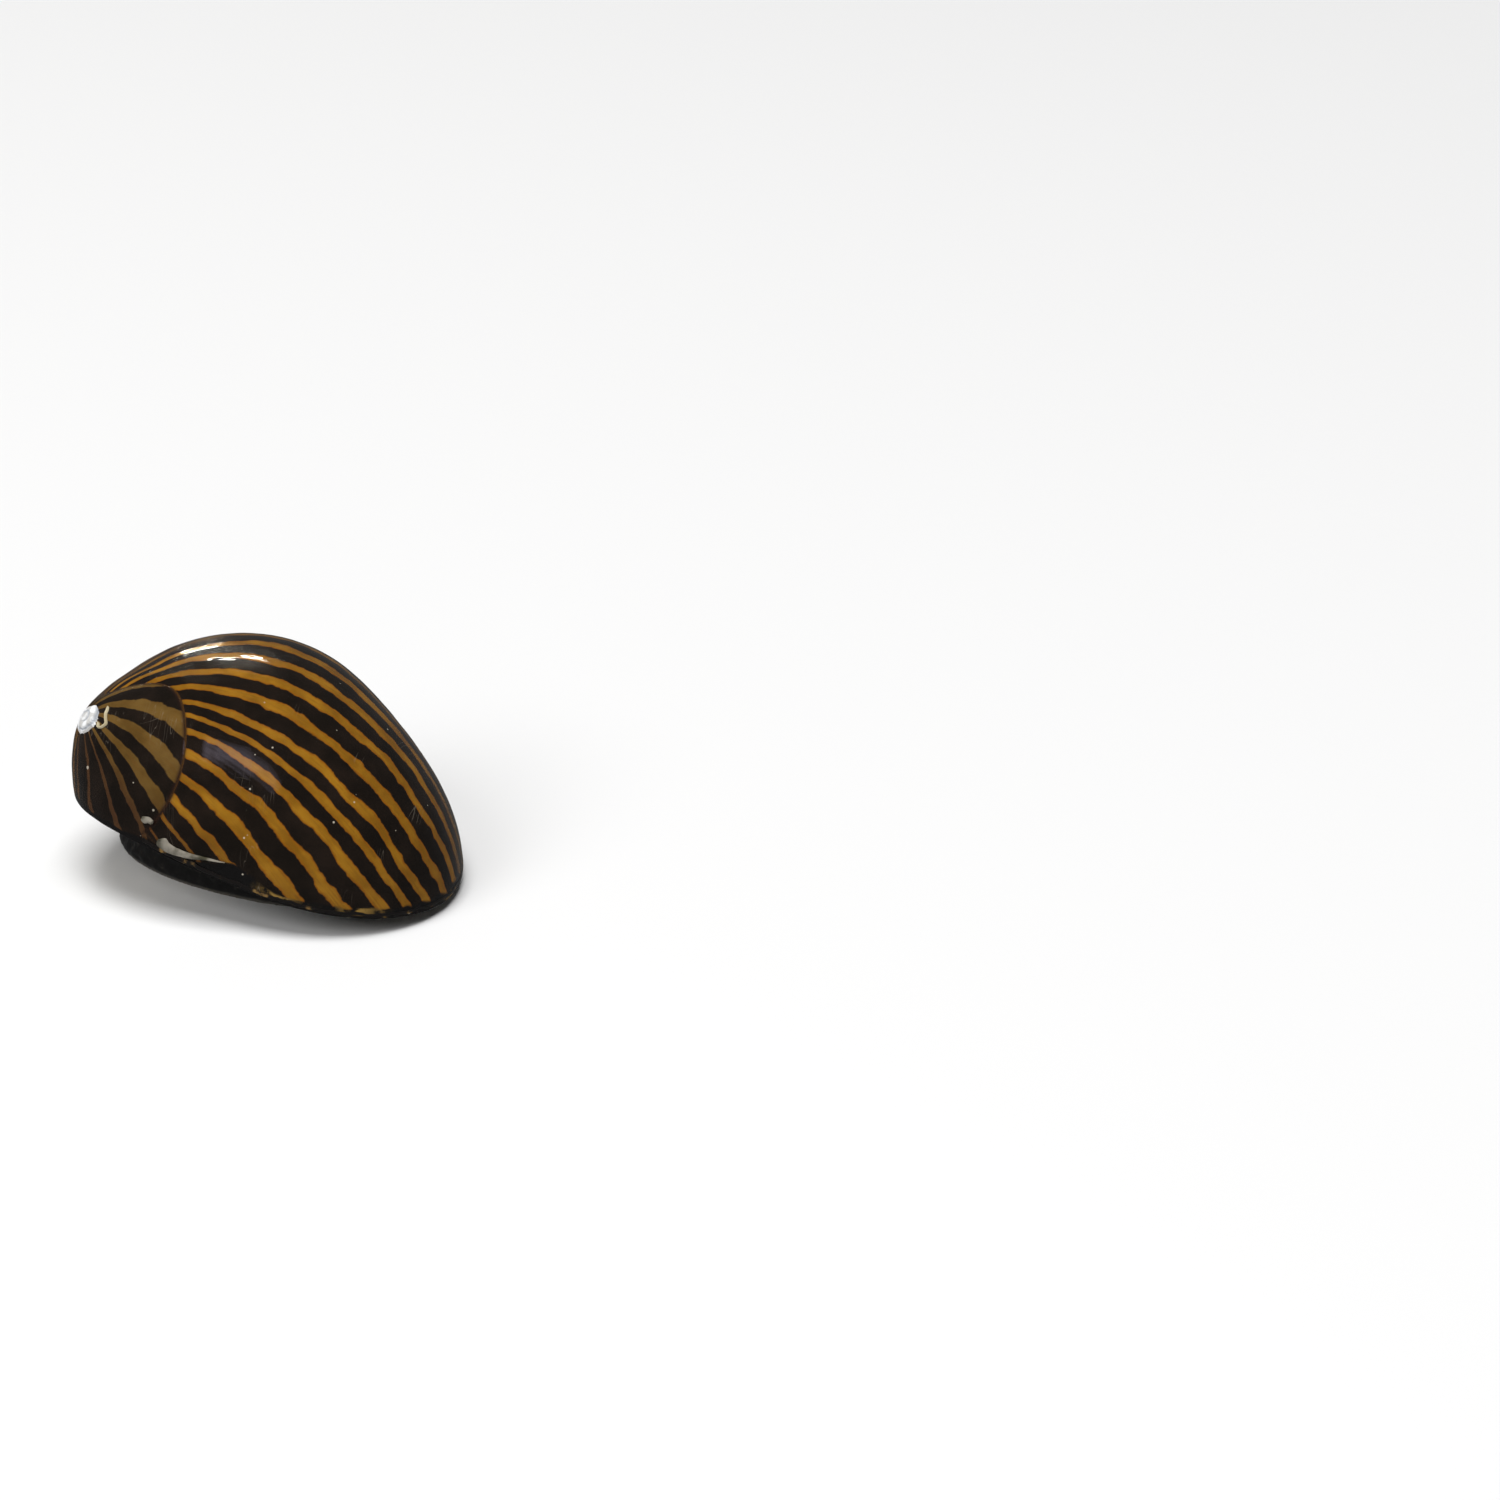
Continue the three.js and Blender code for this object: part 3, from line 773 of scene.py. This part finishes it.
P.put("Coat Weight", 1.0)
P.put("Coat Roughness", 0.035)
P.put("IOR", 1.42)
P.bump(P.math("ADD", grain, P.math("MULTIPLY", P.noise(where, 3800, 2), 0.2)), 0.35, 0.05)
outside.data.materials.append(P.mat)
print("shell paint uses", len(P.tree.nodes), "nodes")

# %% [markdown]
# Where the dark skin is worn off, the shell is dull chalk. The callus is grey and grimy, the lip
# is dark with golden patches outside and pale inside, and the deck is like porcelain. Two
# tones blended by noise are enough for each, because all are small.

# %% Chalk, lip and deck paints
chalk = Paint("worn chalk")
where = chalk.place()
pits = chalk.noise(where, 2200, 4)
stain = chalk.blend(chalk.ramp(pits, 0.42, 0.62), tint(0.6, 0.59, 0.57), tint(0.92, 0.93, 0.94))
coil_line = chalk.math("MULTIPLY", chalk.fact("coil"), 0.75)
chalk.put("Base Color", chalk.blend(coil_line, stain, tint(0.26, 0.29, 0.34)))
chalk.put("Roughness", 0.62)
chalk.bump(pits, 0.8, 0.14)
apex.data.materials.append(chalk.mat)

cream = Paint("cream thread")
where = cream.place()
drift = cream.noise(where, 1500, 3)
cream.put("Base Color", cream.blend(drift, tint(0.35, 0.28, 0.15), tint(0.7, 0.62, 0.42)))
cream.put("Roughness", 0.3)
cream.put("Coat Weight", 0.5)
hook.data.materials.append(cream.mat)

callus = Paint("grey callus")
where = callus.place()
cloud = callus.noise(where, 1100, 4)
grime = callus.ramp(cloud, 0.35, 0.65)
callus.put("Base Color", callus.blend(grime, tint(0.055, 0.05, 0.03), tint(0.27, 0.245, 0.2)))
callus.put("Roughness", 0.38)
callus.put("Coat Weight", 0.4)
callus.bump(cloud, 0.5, 0.08)
smear.data.materials.append(callus.mat)
ridge.data.materials.append(callus.mat)

edge_paint = Paint("lip edge")
where = edge_paint.place()
grey = edge_paint.noise(where, 900, 4)
golden = edge_paint.ramp(grey, 0.56, 0.64)
amber = edge_paint.blend(golden, tint(0.008, 0.006, 0.005), tint(0.27, 0.15, 0.035))
inner_tone = edge_paint.blend(grey, tint(0.5, 0.47, 0.4), tint(0.62, 0.6, 0.54))
rolled_in = edge_paint.ramp(edge_paint.fact("inward"), 0.35, 0.6)
edge_paint.put("Base Color", edge_paint.blend(rolled_in, amber, inner_tone))
edge_paint.put("Roughness", 0.3)
edge_paint.put("Coat Weight", 0.6)
edge_paint.put("Coat Roughness", 0.08)
edge_paint.bump(grey, 0.5, 0.06)
lip.data.materials.append(edge_paint.mat)

porcelain = Paint("deck porcelain")
where = porcelain.place()
cloud = porcelain.noise(where, 300, 3)
porcelain.put("Base Color", porcelain.blend(cloud, tint(0.52, 0.46, 0.34), tint(0.72, 0.69, 0.6)))
porcelain.put("Roughness", 0.22)
porcelain.put("Coat Weight", 0.6)
porcelain.put("Coat Roughness", 0.06)
porcelain.bump(cloud, 0.2, 0.05)
deck.data.materials.append(porcelain.mat)
print("chalk, cream, callus, lip and deck paints made")

# %% [markdown]
# Soft body and lid are nearly black too, but moist rather than glassy. Pale flecks break
# the skin, and the sole is paler. The lid has rings of growth, for which a ring wave is the
# plainest pattern.

# %% Flesh, horn and eye paints
flesh = Paint("moist flesh")
where = flesh.place()
mottle = flesh.noise(where, 1400, 5, 0.65)
pale_fleck = flesh.ramp(mottle, 0.55, 0.74)
skin_tone = flesh.blend(pale_fleck, tint(0.006, 0.0055, 0.005), tint(0.05, 0.043, 0.034))
sole_tone = flesh.blend(mottle, tint(0.16, 0.14, 0.115), tint(0.3, 0.27, 0.22))
flesh.put("Base Color", flesh.blend(flesh.fact("sole"), skin_tone, sole_tone))
flesh.put("Roughness", 0.36)
flesh.put("Coat Weight", 0.5)
flesh.put("Coat Roughness", 0.2)
flesh.put("Subsurface Weight", 0.05)
flesh.put("Subsurface Radius", (0.0006, 0.0003, 0.0002))
flesh.bump(mottle, 0.5, 0.08)
skin.data.materials.append(flesh.mat)

horn = Paint("horny lid")
where = horn.place()
rings = horn.tree.nodes.new("ShaderNodeTexWave")
rings.wave_type = "RINGS"
rings.inputs["Scale"].default_value = 900
rings.inputs["Distortion"].default_value = 2.0
horn.feed(rings.inputs["Vector"], where)
horn.put("Base Color", horn.blend(rings.outputs["Fac"], tint(0.045, 0.03, 0.022), tint(0.12, 0.085, 0.06)))
horn.put("Roughness", 0.35)
horn.bump(rings.outputs["Fac"], 0.3, 0.05)
lid = frame["nodes"]["operculum"]
lid.data.materials.clear()
lid.data.materials.append(horn.mat)

jet = Paint("jet eye")
jet.put("Base Color", tint(0.006, 0.006, 0.007))
jet.put("Roughness", 0.08)
jet.put("Coat Weight", 1.0)
for ball in eyes:
    ball.data.materials.append(jet.mat)
print("flesh, horn and eye paints made")

# %% [markdown]
# ## Stage, light and camera
# A plain pale floor and soft light from above. A large light would show in the gloss as a
# large pale patch, so the two wide lights only brighten. Two thin strips and a soft glow do
# the opposite: they only show in the gloss. The floor is not mirrored, so the black stays deep.

# %% Floor and light
FLOOR_SIZE = 4.0
SKY_STRENGTH = 0.07
bpy.ops.mesh.primitive_plane_add(size=FLOOR_SIZE, location=(0, 0, 0))
floor = bpy.context.object
floor.name = "floor"
pale_floor = Paint("pale floor")
pale_floor.put("Base Color", tint(0.86, 0.86, 0.86))
pale_floor.put("Roughness", 0.8)
floor.data.materials.append(pale_floor.mat)
floor.visible_glossy = False

world = bpy.data.worlds.new("studio")
bpy.context.scene.world = world
world.use_nodes = True
sky = world.node_tree.nodes["Background"]
sky.inputs["Color"].default_value = tint(1.0, 1.0, 1.0)
sky.inputs["Strength"].default_value = SKY_STRENGTH


def soft_light(name, place, aim, size, power, mirrored=True, brightens=True, colour=(1, 1, 1)):
    lamp = bpy.data.lights.new(name, "AREA")
    lamp.shape = "RECTANGLE"
    lamp.size, lamp.size_y = size
    lamp.energy = power
    lamp.color = colour
    thing = bpy.data.objects.new(name, lamp)
    bpy.context.collection.objects.link(thing)
    thing.location = place
    thing.rotation_euler = (Vector(aim) - Vector(place)).to_track_quat("-Z", "Y").to_euler()
    thing.visible_glossy = mirrored
    thing.visible_diffuse = brightens
    return thing


CROWN = (-0.003, 0, 0.0135)
WARM = (1.0, 0.94, 0.8)
VIOLET = (0.9, 0.8, 1.0)
RIGHT_SIDE = (0, -0.007, 0.01)
GLOW_POWER = 0.8
LOW_STRIP = (-0.204, 0.378, 0.153)
HIGH_STRIP = (-0.118, 0.315, 0.316)
soft_light("low strip", LOW_STRIP, CROWN, (0.075, 0.006), 0.10, brightens=False, colour=WARM)
soft_light("high strip", HIGH_STRIP, CROWN, (0.15, 0.006), 0.26, brightens=False, colour=WARM)
for wide in (0.05, 0.09, 0.13, 0.17):
    place = (-0.06, -0.36 - wide / 50, 0.37)
    power = GLOW_POWER * wide * wide
    glow = soft_light(f"side glow {wide}", place, RIGHT_SIDE, (wide, wide), power,
                      brightens=False, colour=VIOLET)
    glow.data.shape = "DISK"
soft_light("overhead", (0.0, -0.12, 1.0), (0, 0, 0), (0.6, 0.6), 10.2, mirrored=False)
soft_light("front fill", (-0.3, -0.5, 0.5), (0, 0, 0.005), (0.4, 0.4), 2.2, mirrored=False)
print("two strips and four glow discs that only mirror, two wide lights that only brighten")

# %% [markdown]
# The camera stands to the right of the snail and looks down on it. The picture is wide
# and the snail lies at its left edge, where the photo has it. A long lens far away keeps the
# shape free of distortion. Two angles and a place, fitted to the outline, set it.

# %% Camera
CAMERA_TURN = math.radians(14.0736)
CAMERA_DIP = math.radians(25.2483)
CAMERA_PLACE = Vector((104.17, -300.9, 156.87))
across = Vector((math.cos(CAMERA_TURN), math.sin(CAMERA_TURN), 0))
level = Vector((-math.sin(CAMERA_TURN), math.cos(CAMERA_TURN), 0))
ahead = level * math.cos(CAMERA_DIP) - Vector((0, 0, math.sin(CAMERA_DIP)))
upward = across.cross(ahead)
camera = bpy.data.cameras.new("photo view")
camera.sensor_width = 36
camera.lens = 144
camera.clip_start = 0.01
camera.clip_end = 20
eye_point = bpy.data.objects.new("photo view", camera)
bpy.context.collection.objects.link(eye_point)
turned = Matrix((across, upward, -ahead)).transposed().to_4x4()
eye_point.matrix_world = Matrix.Translation(CAMERA_PLACE * MM) @ turned
bpy.context.scene.camera = eye_point
bpy.context.scene.view_settings.view_transform = "Standard"
print("camera", round(eye_point.location.length, 3), "m from the middle of the floor")
